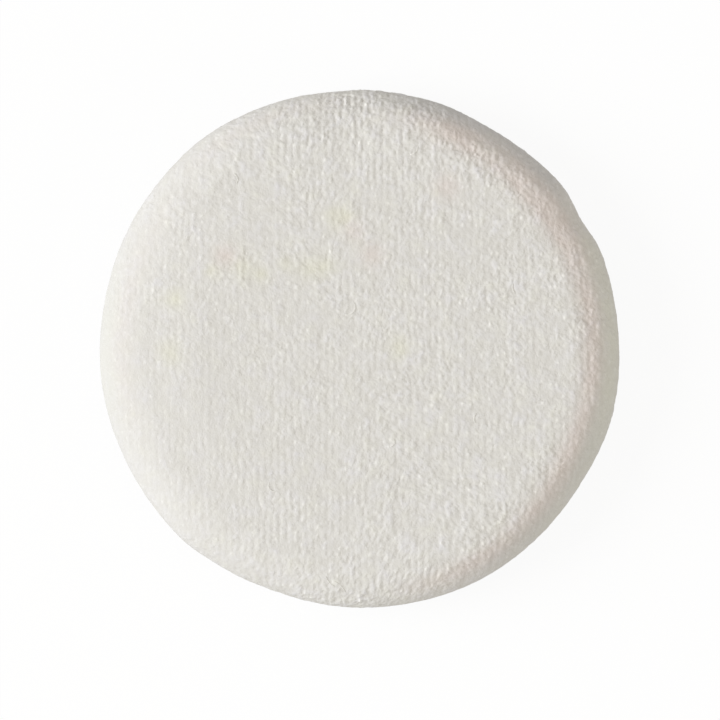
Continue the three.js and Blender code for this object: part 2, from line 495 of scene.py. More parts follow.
pile = {
    "ribPitch": 0.855 * mm,
    "ribHalfWidth": 0.42 * mm,
    "ribHeight": 0.056 * mm,
    "ribLow": 0.22,             # share of a rib's height that is left where it is thinnest
    "ribPower": 1.16,
    "swellCell": 0.4 * mm,
    "drift": 0.23,              # how far a rib leans off its line, as a share of the pitch
    "driftCell": 0.95 * mm,
    "wander": 0.16 * mm,        # rows of loops shift to one side together
    "wanderCell": (3.9 * mm, 1.06 * mm),
    "tuftHeight": 0.036 * mm,
    "tuftCell": (0.46 * mm, 0.48 * mm),
    "clumpHeight": 0.038 * mm,
    "clumpCell": (0.95 * mm, 0.85 * mm),
    "grainHeight": 0.034 * mm,
    "grainCell": (0.26 * mm, 0.28 * mm),
    "patchCell": 2.6 * mm,      # brushed and pressed patches
    "ribPatchLow": 0.4,
    "tuftPatchLow": 0.55,
    "nubCell": 0.9 * mm,        # a few tufts stand out, with pale tips that carry a painted highlight
    "nubShare": 0.2,
    "nubRadius": (0.1 * mm, 0.18 * mm),
    "nubHeight": 0.075 * mm,
    "nubLow": 0.4,              # height of the lowest, as a share of the highest
    "nubPlace": (0.25, 0.75),   # where in its cell one may stand
    "nubStretch": 1.4,          # along the ribs
    "hollowBelow": -0.05 * mm,  # heights at which the hollows' painted shade is full, and at which a whole tuft has none
    "tuftAbove": 0.09 * mm,
    "rimShare": 0.4,            # how much of the pile is left at the seam
    "rimGrowth": (0.05, 0.6),   # shares of the panel's rise over which it grows to its full height
    "reach": 38 * mm,
    "spareCells": 3,            # past the reach
    "firstRib": 2,              # so that a rib that wanders stays in its table
}
# brushed places: mm as the picture shows it, and how much more the ribs and the tufts stand there
brushed = [
    {"place": (-1, 25), "spread": 12, "ribs": 0.44, "tufts": 0.06},
    {"place": (0, 33), "spread": 7, "ribs": 0.25, "tufts": 0.7},
    {"place": (2, -26), "spread": 12, "ribs": 0.0, "tufts": 0.06},
    {"place": (2, -33), "spread": 6, "ribs": 0.2, "tufts": 0.4},
    {"place": (21, -8), "spread": 12, "ribs": -0.02, "tufts": -0.04},
    {"place": (15, 14), "spread": 8, "ribs": -0.35, "tufts": -0.15},
    {"place": (20.5, 20), "spread": 5, "ribs": 0.2, "tufts": 0.35},
    {"place": (10, 27.5), "spread": 3, "ribs": 0.2, "tufts": 0.6},
    {"place": (16.5, 24), "spread": 3, "ribs": 0.2, "tufts": 0.9},
    {"place": (22, 19), "spread": 3, "ribs": 0.2, "tufts": 0.7},
    {"place": (26.5, 11.5), "spread": 3, "ribs": 0.2, "tufts": 0.9},
    {"place": (28.5, 3), "spread": 3, "ribs": 0.2, "tufts": 0.6},
    {"place": (18, -18), "spread": 7, "ribs": 0.25, "tufts": 0.2},
    {"place": (15.5, -25), "spread": 3.5, "ribs": 0.3, "tufts": 0.8},
    {"place": (24, -15.5), "spread": 3, "ribs": 0.2, "tufts": 0.6},
    {"place": (-22, -4), "spread": 14, "ribs": -0.2, "tufts": -0.4},
    {"place": (-31, 1), "spread": 5, "ribs": -0.4, "tufts": -0.3},
    {"place": (-28.5, -13), "spread": 5.5, "ribs": -0.35, "tufts": -0.4},
    {"place": (-23, -22), "spread": 5, "ribs": -0.35, "tufts": -0.35},
    {"place": (-27.5, 14), "spread": 5, "ribs": -0.3, "tufts": -0.35},
    {"place": (-22, 22), "spread": 4.5, "ribs": -0.2, "tufts": -0.3},
    {"place": (-12, -18), "spread": 10, "ribs": 0.12, "tufts": -0.32},
    {"place": (-15, 14), "spread": 9, "ribs": -0.2, "tufts": 0},
    {"place": (0, 0), "spread": 13, "ribs": -0.15, "tufts": -0.08},
]
gathers = {
    "waves": [(37, 0.3), (61, 1.9), (83, 4.1), (109, 2.7)],     # number round the seam, and phase
    "height": 0.01 * mm,
    "reach": 1.1 * mm,
}
bandRoom = {
    "halfWidth": 9.55 * mm,
    "edge": 0.4 * mm,
    "depth": 0.58 * mm,         # how far the band presses into the back
    "halfHeight": 0.35 * mm,    # how far it parts the panels in the seam
    "pressedPile": 0.5,
}


def crownAt(cover, share):
    return cover["crown"] * (1 - share ** 2) ** 2


# section of a panel, from its middle to the edge that turns in at the seam
def panelPath(cover, lip, halfGap):
    share = np.linspace(0, 1, puff["crownSteps"], endpoint=False)
    turn = np.linspace(0, math.pi / 2, puff["roundSteps"], endpoint=False)
    fold = np.linspace(0, math.pi / 2, puff["foldSteps"])
    shoulder = seamRadius - cover["roundWidth"]
    lipTop = lip + halfGap
    power = 2 / cover["roundness"]
    radius = np.concatenate([
        shoulder * share,
        shoulder + cover["roundWidth"] * np.sin(turn) ** power,
        seamRadius - lip * (1 - np.cos(fold)),
    ])
    height = np.concatenate([
        cover["rise"] + crownAt(cover, share),
        lipTop + (cover["rise"] - lipTop) * np.cos(turn) ** power,
        lipTop - lip * np.sin(fold),
    ])
    return radius, height


def travelAlong(radius, height):
    steps = np.hypot(np.diff(radius), np.diff(height))
    return np.concatenate([[0], np.cumsum(steps)])


# a square grid as a disc: its rings of cells become circles
def drawnToDisc(points):
    x, y = points[:, 0], points[:, 1]
    tall = np.abs(y) > np.abs(x)
    along = np.where(tall, y, x)
    across = np.where(tall, x, y)
    lean = math.pi / 4 * across / np.where(along == 0, 1, along)
    angle = np.where(tall, math.pi / 2 - lean, lean)
    angle = np.where(along < 0, angle + math.pi, angle)
    return np.abs(along), angle


def roundTheRim(angle, places, key):
    amount = np.zeros_like(angle)
    for place in places:
        amount += place[key] * swellAt(turnedBy(angle, place["angle"]), 0, math.radians(place["spread"]))
    return amount


def wearRim(r, h, angle, rise):
    rim = faceRim
    sag = roundTheRim(angle, rim["sags"], "depth") * smoothStep(r, rim["sagStart"], rim["sagEnd"])
    pinch = rim["pinchDepth"] * swellAt(r, rim["pinchRadius"], rim["pinchWidth"])
    pinch = pinch * swellAt(turnedBy(angle, rim["pinchAngle"]), 0, math.radians(rim["pinchSpread"]))
    crest = rim["ridgeRadius"] + roundTheRim(angle, rim["ridgeBends"], "shift")
    ridge = rim["ridgeHeight"] * swellAt(r, crest, rim["ridgeWidth"])
    ridge = ridge * swellAt(turnedBy(angle, rim["ridgeAngle"]), 0, math.radians(rim["ridgeSpread"]))
    return h * (1 - (sag + pinch) / rise) + ridge


# places of the grid's points, in space and on the flat cloth
def formPanel(flat, cover):
    radius, height = panelPath(cover, puff["lipRadius"], puff["seamHalfGap"])
    travel = travelAlong(radius, height)
    ring, angle = drawnToDisc(flat)
    out = ring * travel[-1]
    r = np.interp(out, travel, radius)
    h = np.interp(out, travel, height)
    if cover["wornRim"]:
        h = wearRim(r, h, angle, cover["rise"])
    points = fromPolar(shapedRadius(r, angle), angle, seamHeight + cover["up"] * h)
    onCloth = angle - math.radians(view["roll"])
    return points, np.stack([out * np.cos(onCloth), out * np.sin(onCloth)], 1)


def gridMesh(name, cells, up):
    bm = bmesh.new()
    bmesh.ops.create_grid(bm, x_segments=cells, y_segments=cells, size=1)
    if up < 0:
        bmesh.ops.reverse_faces(bm, faces=bm.faces)
    return meshFrom(bm, name)


# the filling presses a coarse copy of the panel outwards, and its seam is held
def fillWithPressure(cover):
    cells = filling["cells"]
    mesh = gridMesh("filling", cells, cover["up"])
    flat = coordinates(mesh)
    start = formPanel(flat, cover)[0] * filling["enlarge"]
    setCoordinates(mesh, start)
    copy = linkPiece("filling", mesh)
    held = copy.vertex_groups.new(name="seam")
    held.add(np.flatnonzero(np.abs(flat).max(1) > 1 - 0.5 / cells).tolist(), 1.0, "REPLACE")
    cloth = copy.modifiers.new("filling", "CLOTH")
    cloth.settings.vertex_group_mass = "seam"
    cloth.settings.use_pressure = True
    cloth.settings.uniform_pressure_force = filling["pressure"]
    cloth.settings.effector_weights.gravity = 0
    for step in range(1, filling["frames"] + 1):
        bpy.context.scene.frame_set(step)
    filled = copy.evaluated_get(bpy.context.evaluated_depsgraph_get())
    moved = (coordinates(filled.data) - start) / filling["enlarge"]
    bpy.data.objects.remove(copy)
    bpy.context.scene.frame_set(1)
    far = np.linalg.norm(moved, axis=1, keepdims=True)
    print("  filling moved the panel by up to", round(far.max() / mm, 2), "mm before the cap")
    moved = moved * filling["cap"] / (far + filling["cap"])
    column, row = np.rint((flat[:, :2].T + 1) / 2 * cells).astype(int)
    moves = np.zeros((cells + 1, cells + 1, 3))
    moves[column, row] = moved
    return moves


def between(table, u, v):
    i = np.clip(np.floor(u).astype(int), 0, table.shape[0] - 2)
    j = np.clip(np.floor(v).astype(int), 0, table.shape[1] - 2)
    s, t = u - i, v - j
    if table.ndim > 2:
        s, t = s[:, None], t[:, None]
    else:
        s, t = smoothStep(s, 0, 1), smoothStep(t, 0, 1)
    low = table[i, j] * (1 - s) + table[i + 1, j] * s
    high = table[i, j + 1] * (1 - s) + table[i + 1, j + 1] * s
    return low * (1 - t) + high * t


def cellCount(cell):
    return int(2 * pile["reach"] / cell) + pile["spareCells"]


def clothGrain(rng, across, along, cell):
    u = (across + pile["reach"]) / cell[0]
    v = (along + pile["reach"]) / cell[1]
    table = rng.uniform(-1, 1, (cellCount(cell[0]), cellCount(cell[1])))
    return between(table, u, v)


def alongRib(table, rib, place):
    row = np.floor(place).astype(int)
    t = smoothStep(place - row, 0, 1)
    return table[rib, row] * (1 - t) + table[rib, row + 1] * t


def brushing(across, along, kind):
    amount = np.ones_like(across)
    for spot in brushed:
        away = np.hypot(across - spot["place"][0] * mm, along - spot["place"][1] * mm)
        amount = amount + spot[kind] * swellAt(away, 0, spot["spread"] * mm)
    return amount


def patches(rng, across, along, low):
    patch = clothGrain(rng, across, along, (pile["patchCell"],) * 2) / 2 + 0.5
    return low + (1 - low) * 2 * patch


def nubs(rng, across, along):
    cell = pile["nubCell"]
    shape = (cellCount(cell), cellCount(cell))
    height = pile["nubHeight"] * rng.uniform(pile["nubLow"], 1, shape)
    height = height * (rng.uniform(0, 1, shape) < pile["nubShare"])
    radius = rng.uniform(*pile["nubRadius"], shape)
    centre = rng.uniform(*pile["nubPlace"], (2, *shape))
    u, v = (across + pile["reach"]) / cell, (along + pile["reach"]) / cell
    i, j = np.floor(u).astype(int), np.floor(v).astype(int)
    beside = u - i - centre[0, i, j]
    ahead = (v - j - centre[1, i, j]) / pile["nubStretch"]
    return height[i, j] * swellAt(np.hypot(beside, ahead) * cell, 0, radius[i, j])


# height of the pile over the cloth, and how much of it is the tip of a tuft that stands out, to be coloured
# pale with a painted highlight
def pileHeights(across, along, seed):
    rng = np.random.default_rng(seed)
    wander = pile["wander"] * clothGrain(rng, across, along, pile["wanderCell"])
    u = (across + wander + pile["reach"]) / pile["ribPitch"]
    v = along + pile["reach"]
    ribs = cellCount(pile["ribPitch"]) + pile["spareCells"]
    drift = rng.uniform(-1, 1, (ribs, cellCount(pile["driftCell"])))
    swell = rng.uniform(0, 1, (ribs, cellCount(pile["swellCell"]) + 1))
    start = rng.uniform(0, 1, ribs)     # ribs swell out of step with each other
    rib = np.floor(u).astype(int)
    raised = np.zeros_like(across)
    for step in (-1, 0, 1):             # the nearest rib and those on either side
        which = rib + step + pile["firstRib"]
        lean = pile["drift"] * alongRib(drift, which, v / pile["driftCell"])
        full = alongRib(swell, which, v / pile["swellCell"] + start[which]) ** pile["ribPower"]
        full = pile["ribLow"] + (1 - pile["ribLow"]) * full
        beside = (u - rib - step - 0.5 - lean) * pile["ribPitch"] / pile["ribHalfWidth"]
        raised = np.maximum(raised, full * np.clip(1 - beside ** 2, 0, 1))
    brushedRibs = brushing(across, along, "ribs")
    raised = pile["ribHeight"] * raised * patches(rng, across, along, pile["ribPatchLow"]) * brushedRibs
    tufts = pile["tuftHeight"] * clothGrain(rng, across, along, pile["tuftCell"])
    tufts = tufts + pile["clumpHeight"] * clothGrain(rng, across, along, pile["clumpCell"])
    tufts = tufts + pile["grainHeight"] * clothGrain(rng, across, along, pile["grainCell"])
    brushedTufts = brushing(across, along, "tufts")
    tufts = tufts * patches(rng, across, along, pile["tuftPatchLow"]) * brushedTufts
    tips = nubs(rng, across, along) * brushedTufts
    return raised + tufts + tips, np.clip(tips / pile["nubHeight"], 0, 1)


# faint traces of powder, in mm from the middle of the face as the picture shows it
powderTraces = [
    {"tint": "powder", "place": (-2.9, 16.2), "spread": 1.5},
    {"tint": "powder", "place": (-1.4, 16.4), "spread": 1.1},
    {"tint": "powder", "place": (-4.2, 10.2), "spread": 1.3},
    {"tint": "powder", "place": (-6.4, 10.0), "spread": 1.5},
    {"tint": "powder", "place": (-9.1, 10.6), "spread": 0.9},
    {"tint": "powder", "place": (-12.0, 9.2), "spread": 1.0},
    {"tint": "powder", "place": (-14.4, 9.9), "spread": 1.5},
    {"tint": "powder", "place": (-18.3, 9.6), "spread": 0.9},
    {"tint": "powder", "place": (4.9, 0.2), "spread": 1.4},
    {"tint": "powder", "place": (-23.4, -0.5), "spread": 1.5},
    {"tint": "powder", "place": (-22.8, 6.2), "spread": 1.4},
    {"tint": "rose", "place": (-16.6, 11.5), "spread": 1.4},
    {"tint": "rose", "place": (-0.6, 14.8), "spread": 1.3},
    {"tint": "rose", "place": (1.7, 11.7), "spread": 1.5},
    {"tint": "rose", "place": (11.0, 20.1), "spread": 1.6},
]
# tints round the rim, and painted shade at its outer edge: degrees from +X to the middle of each, its spread
# to both sides, radius and width in mm
rimTintsAndShade = [
    {"tint": "rose", "angle": 40, "spread": 58, "radius": 29.2, "width": 1.5, "strength": 1.0},
    {"tint": "rose", "angle": 74, "spread": 26, "radius": 29.6, "width": 2.2, "strength": 0.7},
    {"tint": "rose", "angle": 334, "spread": 25, "radius": 30.4, "width": 1.25, "strength": 1.0},
    {"tint": "sallow", "angle": 12, "spread": 40, "radius": 31.7, "width": 1.3, "strength": 1.0},
    {"tint": "rose", "angle": 195, "spread": 28, "radius": 29.4, "width": 1.3, "strength": 0.22},
    {"tint": "rose", "angle": 137, "spread": 20, "radius": 30.8, "width": 0.9, "strength": 0.25},
    {"tint": "sallow", "angle": 205, "spread": 20, "radius": 31.7, "width": 1.2, "strength": 0.6},
    # painted shade, darkening the outer edge of the rim
    {"tint": "paintedRimShade", "angle": 84, "spread": 24, "radius": 31.7, "width": 1.2, "strength": 1.0},
    {"tint": "paintedRimShade", "angle": 345, "spread": 27, "radius": 31.3, "width": 1.3, "strength": 0.6},
    {"tint": "paintedRimShade", "angle": 205, "spread": 30, "radius": 32.0, "width": 1.3, "strength": 0.45},
]
powderStrength = 0.7
rimTraceEnd = 4     # higher ends a tint along the rim more sharply


def tintsAndShadeAt(tint, across, along, points):
    amount = np.zeros_like(across)
    for trace in powderTraces:
        if trace["tint"] == tint:
            away = np.hypot(across - trace["place"][0] * mm, along - trace["place"][1] * mm)
            amount = amount + powderStrength * swellAt(away, 0, trace["spread"] * mm)
    radius = radiiOf(points) / mm
    angle = anglesOf(points)
    for trace in rimTintsAndShade:
        if trace["tint"] == tint:
            turn = turnedBy(angle, trace["angle"]) / math.radians(trace["spread"])
            ring = swellAt(radius, trace["radius"], trace["width"])
            amount = amount + trace["strength"] * np.exp(-(turn ** rimTraceEnd)) * ring
    return np.clip(amount, 0, 1)


# 1 where the band lies, 0 beside it
def roomForBand(points):
    edge = bandRoom["halfWidth"]
    return 1 - smoothStep(np.abs(points[:, 0]), edge, edge + bandRoom["edge"])


def raisePile(mesh, cloth, cover):
    points = coordinates(mesh)
    across, along = cloth.T
    normal = normals(mesh)
    up = cover["up"]
    height = up * (points[:, 2] - seamHeight)
    raised, paleTipAndHighlight = pileHeights(across, along, cover["seed"])
    # 0 in a hollow, under full painted shade, to 1 on a whole tuft, with none
    outOfHollowShade = smoothStep(raised, pile["hollowBelow"], pile["tuftAbove"])
    grown = smoothStep(height / cover["rise"], *pile["rimGrowth"])
    raised = raised * (pile["rimShare"] + (1 - pile["rimShare"]) * grown)
    angle = anglesOf(points)
    gather = sum(np.cos(count * angle + phase) for count, phase in gathers["waves"])
    raised = raised + gathers["height"] * gather * swellAt(height, 0, gathers["reach"])
    room = roomForBand(points)
    if up < 0:
        raised = raised * (1 - bandRoom["pressedPile"] * room) - bandRoom["depth"] * room
    points = points + normal * raised[:, None]
    inSeam = radiiOf(points) > seamRadius - puff["allowanceWidth"]
    height = np.maximum(up * (points[:, 2] - seamHeight), bandRoom["halfHeight"] * room * inSeam)
    points[:, 2] = seamHeight + up * height
    points[:, 2] = np.maximum(points[:, 2], backLow.z)
    setCoordinates(mesh, points)
    setAttribute(mesh, "outOfHollowShade", outOfHollowShade)
    setAttribute(mesh, "paleTipAndHighlight", paleTipAndHighlight)
    # tints, and painted shade at the rim's edge, on the face only
    for tint in velour["tints"]:
        setAttribute(mesh, tint, tintsAndShadeAt(tint, across, along, points) * (up > 0))


# the edge turns in at the seam, and the inside of the panel closes it
def turnInAndLine(bm, cover):
    thick = puff["panelThickness"]
    gap = puff["seamHalfGap"]
    rise = cover["rise"]
    top = gap + puff["allowanceThickness"]
    inner = seamRadius - puff["allowanceWidth"]
    shoulder = seamRadius - cover["roundWidth"]
    rings = [(inner, gap), (inner, top), (seamRadius - thick, top)]
    for turn in np.radians(puff["liningTurns"]):
        rings.append((
            shoulder + (cover["roundWidth"] - thick) * math.cos(turn),
            top + (rise - thick - top) * math.sin(turn),
        ))
    for share in puff["liningShares"]:
        rings.append((shoulder * share, rise - thick + crownAt(cover, share)))
    edge = [e for e in bm.edges if e.is_boundary]
    for radius, height in rings:
        made = bmesh.ops.extrude_edge_only(bm, edges=edge)["geom"]
        corners = [v for v in made if isinstance(v, bmesh.types.BMVert)]
        angle = anglesOf(np.array([v.co for v in corners]))
        places = fromPolar(shapedRadius(radius, angle), angle, np.full_like(angle, height))
        if height <= top:
            places[:, 2] += (bandRoom["halfHeight"] - gap) * roomForBand(places)
        places[:, 2] = seamHeight + cover["up"] * places[:, 2]
        for v, place in zip(corners, places):
            v.co = place
        edge = [e for e in made if isinstance(e, bmesh.types.BMEdge) and e.is_boundary]
    bmesh.ops.remove_doubles(bm, verts=corners, dist=weldDistance)
    bmesh.ops.recalc_face_normals(bm, faces=bm.faces)


# loose fibres that stand off the pile: places and lengths in mm as the picture shows them, angles in degrees
looseFibres = {
    "thickness": 0.06 * mm,
    "lift": 0.1 * mm,
    "liftPower": 0.7,   # lower lifts more of a fibre's length
    "steps": 9,
    "hooks": [
        {"place": (-1.7, 4.2), "length": 2.6, "bend": 150, "turn": 70},
        {"place": (-1.6, -30.4), "length": 2.4, "bend": 40, "turn": 140},
        {"place": (-3.0, -29.6), "length": 1.8, "bend": -60, "turn": 125},
        {"place": (-11.1, -16.6), "length": 1.9, "bend": 150, "turn": -40},
        {"place": (6.4, 24.1), "length": 1.7, "bend": 100, "turn": 60},
        {"place": (14.6, -9.3), "length": 1.5, "bend": -120, "turn": 80},
        {"place": (-15.2, 20.4), "length": 1.6, "bend": 90, "turn": 110},
        {"place": (19.5, 6.8), "length": 1.4, "bend": -80, "turn": 100},
        {"place": (3.6, -12.2), "length": 1.5, "bend": 130, "turn": 60},
    ],
}
tubeResolution = 1      # how finely the fibres and the thread are rounded


def roundCurve(name, thickness):
    data = bpy.data.curves.new(name, "CURVE")
    data.dimensions = "3D"
    data.bevel_depth = thickness / 2
    data.bevel_resolution = tubeResolution
    data.use_fill_caps = True
    return data


def meshFromCurve(data):
    curve = linkPiece(data.name, data)
    made = curve.evaluated_get(bpy.context.evaluated_depsgraph_get())
    mesh = bpy.data.meshes.new_from_object(made)
    bpy.data.objects.remove(curve)
    bm = bmesh.new()
    bm.from_mesh(mesh)
    bmesh.ops.remove_doubles(bm, verts=bm.verts, dist=weldDistance)     # joins the caps to the tube
    bm.to_mesh(mesh)
    bm.free()
    return mesh


def fibreMesh(surface):
    data = roundCurve("fibres", looseFibres["thickness"])
    steps = looseFibres["steps"]
    roll = Matrix.Rotation(math.radians(view["roll"]), 3, "Z")
    for hook in looseFibres["hooks"]:
        spline = data.splines.new("POLY")
        spline.points.add(steps - 1)
        place = Vector((*hook["place"], 0)) * mm
        stride = hook["length"] * mm / (steps - 1)
        for i in range(steps):
            share = i / (steps - 1)
            over = roll @ place
            foot = surface.ray_cast(Vector((over.x, over.y, 2 * faceHigh.z)), Vector((0, 0, -1)))[0]
            lift = looseFibres["lift"] * math.sin(math.pi * share) ** looseFibres["liftPower"]
            spline.points[i].co = (*(foot + Vector((0, 0, lift))), 1)
            turn = math.radians(hook["turn"] + hook["bend"] * (share - 0.5))
            place = place + Vector((math.cos(turn), math.sin(turn), 0)) * stride
    return meshFromCurve(data)


def addFibres(bm):
    mesh = fibreMesh(BVHTree.FromBMesh(bm))
    # loose fibres get none of the hollows' painted shade, and the full pale tip colour with its painted
    # highlight
    for name in ("outOfHollowShade", "paleTipAndHighlight"):
        setAttribute(mesh, name, np.ones(len(mesh.vertices)))
    bm.from_mesh(mesh)
    bpy.data.meshes.remove(mesh)


def makePanel(cover, material):
    mesh = gridMesh(cover["name"], cover["cells"], cover["up"])
    flat = coordinates(mesh)
    points, cloth = formPanel(flat, cover)
    moves = fillWithPressure(cover)
    u, v = (flat[:, :2].T + 1) / 2 * filling["cells"]
    points = points + between(moves, u, v)
    setCoordinates(mesh, points)
    setCloth(mesh, cloth)
    raisePile(mesh, cloth, cover)
    bm = bmesh.new()
    bm.from_mesh(mesh)
    turnInAndLine(bm, cover)
    if cover["up"] > 0:
        addFibres(bm)
    storeSmooth(bm, mesh)
    mesh.materials.append(material)
    piece = linkPiece(cover["name"], mesh)
    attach(piece, "puff")
    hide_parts(cover["node"])
    print(cover["name"] + ":", len(mesh.polygons), "faces")


whiteVelour = makeVelour()
makePanel(facePanel, whiteVelour)
makePanel(backPanel, whiteVelour)


# Finger band: satin ribbon laid flush across the back, over the rim and into the seam
ribbon = {
    "width": 19 * mm,
    "thickness": 0.4 * mm,
    "cellsAcross": 84,
    "cellsAlong": 520,
    "foldRadius": 1.15 * mm,    # where it turns into the seam
    "roundStart": 10 * mm,      # from here to the next it takes up the round of the rim
    "roundEnd": 24 * mm,
    "selvedge": 0.8 * mm,       # woven edge, thicker than the satin between
    "selvedgeStep": 0.05 * mm,
    "weftPitch": 0.62 * mm,     # turns of the weft round the edge
    "weftHeight": 0.018 * mm,
    "ripple": 0.03 * mm,        # slight waves between the selvedges
    "ripplePitch": 5.5 * mm,
    "rippleSlant": 3,
    "rippleEdge": 1 / 3,        # share of the width over which they grow to their full height
    "rippleRange": (1.5 * mm, 4 * mm),  # and how far down from the seam
}
satin = {
    # light and dark streaks along the ribbon: partly the warp's own tone, partly painted sheen
    "light": (0.875, 0.85, 0.805),
    "dark": (0.735, 0.70, 0.645),
    "edge": (0.80, 0.77, 0.715),
    "warp": {"scale": 2400, "stretch": (1, 0.03, 1), "detail": 4, "roughness": 0.6},
    "streak": {"scale": 420, "stretch": (1, 0.06, 1), "detail": 2, "roughness": 0.5},
    "weft": {"scale": 3600, "stretch": (0.08, 1, 1), "detail": 2, "roughness": 0.5},
    "bumpDistance": 0.03 * mm,
    "bumpStrength": 0.45,
    "roughnessRange": (0.28, 0.5),      # along the streaks
    "specular": 0.45,
    "sheen": 0.15,
    "sheenRoughness": 0.35,
}


def makeSatin():
    material, tree, shader = startMaterial("ribbon_satin", satin)
    warp = clothNoise(tree, satin["warp"])
    streak = clothNoise(tree, satin["streak"])
    weft = clothNoise(tree, satin["weft"])
    shine = mathNode(tree, "MULTIPLY", mathNode(tree, "ADD", warp, streak), 0.5)    # the mean of both: its streaks are partly the warp's own tone, partly painted sheen
    middle = mixColour(tree, spreadOut(tree, shine, 0, 1), satin["dark"], satin["light"])
    woven = mixColour(tree, spreadOut(tree, weft, 0, 1), satin["dark"], satin["edge"])
    colour = mixColour(tree, attributeNode(tree, "selvedge"), middle, woven)
    tree.links.new(colour, shader.inputs["Base Color"])
    tree.links.new(spreadOut(tree, streak, *satin["roughnessRange"]), shader.inputs["Roughness"])
    addBump(tree, shader, mathNode(tree, "ADD", warp, weft), satin)
    return material


def ribbonPath():
    radius, height = panelPath(backPanel, ribbon["foldRadius"], -ribbon["thickness"] / 2)
    inner = seamRadius - puff["allowanceWidth"]
    radius = np.append(radius, inner)
    height = np.append(height, height[-1])
    return travelAlong(radius, height), radius, height + pileRoom * smoothStep(height, 0, backPanel["rise"])


def makeRibbon():
    travel, radius, height = ribbonPath()
    bm = bmesh.new()
    bmesh.ops.create_grid(bm, x_segments=ribbon["cellsAcross"], y_segments=ribbon["cellsAlong"], size=1)
    bmesh.ops.reverse_faces(bm, faces=bm.faces)
    mesh = meshFrom(bm, "ribbon_band")
    flat = coordinates(mesh)
    across = flat[:, 0] * ribbon["width"] / 2
    along = flat[:, 1] * travel[-1]
    reach = np.interp(np.abs(along), travel, radius)
    rounded = smoothStep(reach, ribbon["roundStart"], ribbon["roundEnd"])
    y = np.sign(along) * np.sqrt(reach ** 2 - across ** 2 * rounded)
    h = np.interp(np.abs(along), travel, height)
    angle = np.arctan2(y, across)
    points = fromPolar(shapedRadius(np.hypot(across, y), angle), angle, seamHeight - h)
    setCoordinates(mesh, points)
    fromEdge = ribbon["width"] / 2 - np.abs(across)
    woven = 1 - smoothStep(fromEdge, ribbon["selvedge"] / 2, ribbon["selvedge"])
    inset = ribbon["selvedgeStep"] * (1 - woven)
    inset = inset + ribbon["weftHeight"] * woven * (1 - np.cos(2 * math.pi * along / ribbon["weftPitch"]))
    wave = np.cos(2 * math.pi * along / ribbon["ripplePitch"] + ribbon["rippleSlant"] * flat[:, 0])
    ripple = ribbon["ripple"] * (1 + wave) * smoothStep(fromEdge, 0, ribbon["rippleEdge"] * ribbon["width"])
    inset = inset + ripple * smoothStep(h, *ribbon["rippleRange"])
    setCoordinates(mesh, points - normals(mesh) * inset[:, None])
    setCloth(mesh, np.stack([across, along], 1))
    setAttribute(mesh, "selvedge", woven)
    mesh.materials.append(makeSatin())
    bm = bmesh.new()
    bm.from_mesh(mesh)
    bmesh.ops.solidify(bm, geom=bm.faces[:], thickness=ribbon["thickness"])
    storeSmooth(bm, mesh)
    band = linkPiece("ribbon_band", mesh)
    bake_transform(band)
    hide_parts("finger_band")
    print("ribbon band:", round(2 * travel[-1] / mm, 1), "mm long,", len(mesh.polygons), "faces")


makeRibbon()


# Foam disc: a turned section with a groove round its side, pitted all over
foam = {
    "inset": 1.9 * mm,          # cover and clearance
    "grooveRadius": 26.7 * mm,
    "grooveHalfHeight": 1.75 * mm,
    "flatShares": (0, 0.25, 0.5, 0.75),     # points of the section out to its shoulder
    "roundSteps": 8,
    "turnSteps": 220,
    "step": 0.6 * mm,
    "weld": 0.005 * mm,
    "pitDepth": 0.12 * mm,
    "pitPower": 3,              # higher leaves fewer deep pits
    "seed": 7,
    # the pores go from light to dark towards their middles: painted shade in the pores
    "light": (0.86, 0.81, 0.68),
    "dark": (0.66, 0.58, 0.44),
    "poreScale": 1600,
    "toneScale": 900,
    "toneDetail": 3,
    "bumpDistance": 0.15 * mm,
    "bumpStrength": 0.8,
    "roughness": 0.9,
    "specular": 0.25,
    "sheen": 0.05,
    "sheenRoughness": 0.5,
}


def makeFoamMaterial():
    material, tree, shader = startMaterial("open_cell_foam", foam)
    place = tree.nodes.new("ShaderNodeTexCoord")
    pore = addNode(tree, "ShaderNodeTexVoronoi", Scale=foam["poreScale"])
    tone = addNode(tree, "ShaderNodeTexNoise", Scale=foam["toneScale"], Detail=foam["toneDetail"])
    for node in (pore, tone):
        tree.links.new(place.outputs["Object"], node.inputs["Vector"])
    # darker where the bump dips in each pore: painted shade, varied by a random tone
    share = mathNode(tree, "MULTIPLY", pore.outputs["Distance"], tone.outputs["Fac"])
    tree.links.new(mixColour(tree, share, foam["dark"], foam["light"]), shader.inputs["Base Color"])
    addBump(tree, shader, pore.outputs["Distance"], foam)
    return material


def foamSection():
    corners = []
    for cover in (backPanel, facePanel):
        up = cover["up"]
        shoulder = seamRadius - cover["roundWidth"]
        width = cover["roundWidth"] - foam["inset"]
        tall = cover["rise"] - foam["inset"]
        side = []
        for share in foam["flatShares"]:
            side.append((shoulder * share, up * (tall + crownAt(cover, share))))
        last = math.asin(foam["grooveHalfHeight"] / tall)
        for turn in np.linspace(math.pi / 2, last, foam["roundSteps"]):
            side.append((shoulder + width * math.cos(turn), up * tall * math.sin(turn)))
        side.append((foam["grooveRadius"], up * foam["grooveHalfHeight"]))
        corners += side if up < 0 else side[::-1]
    return corners


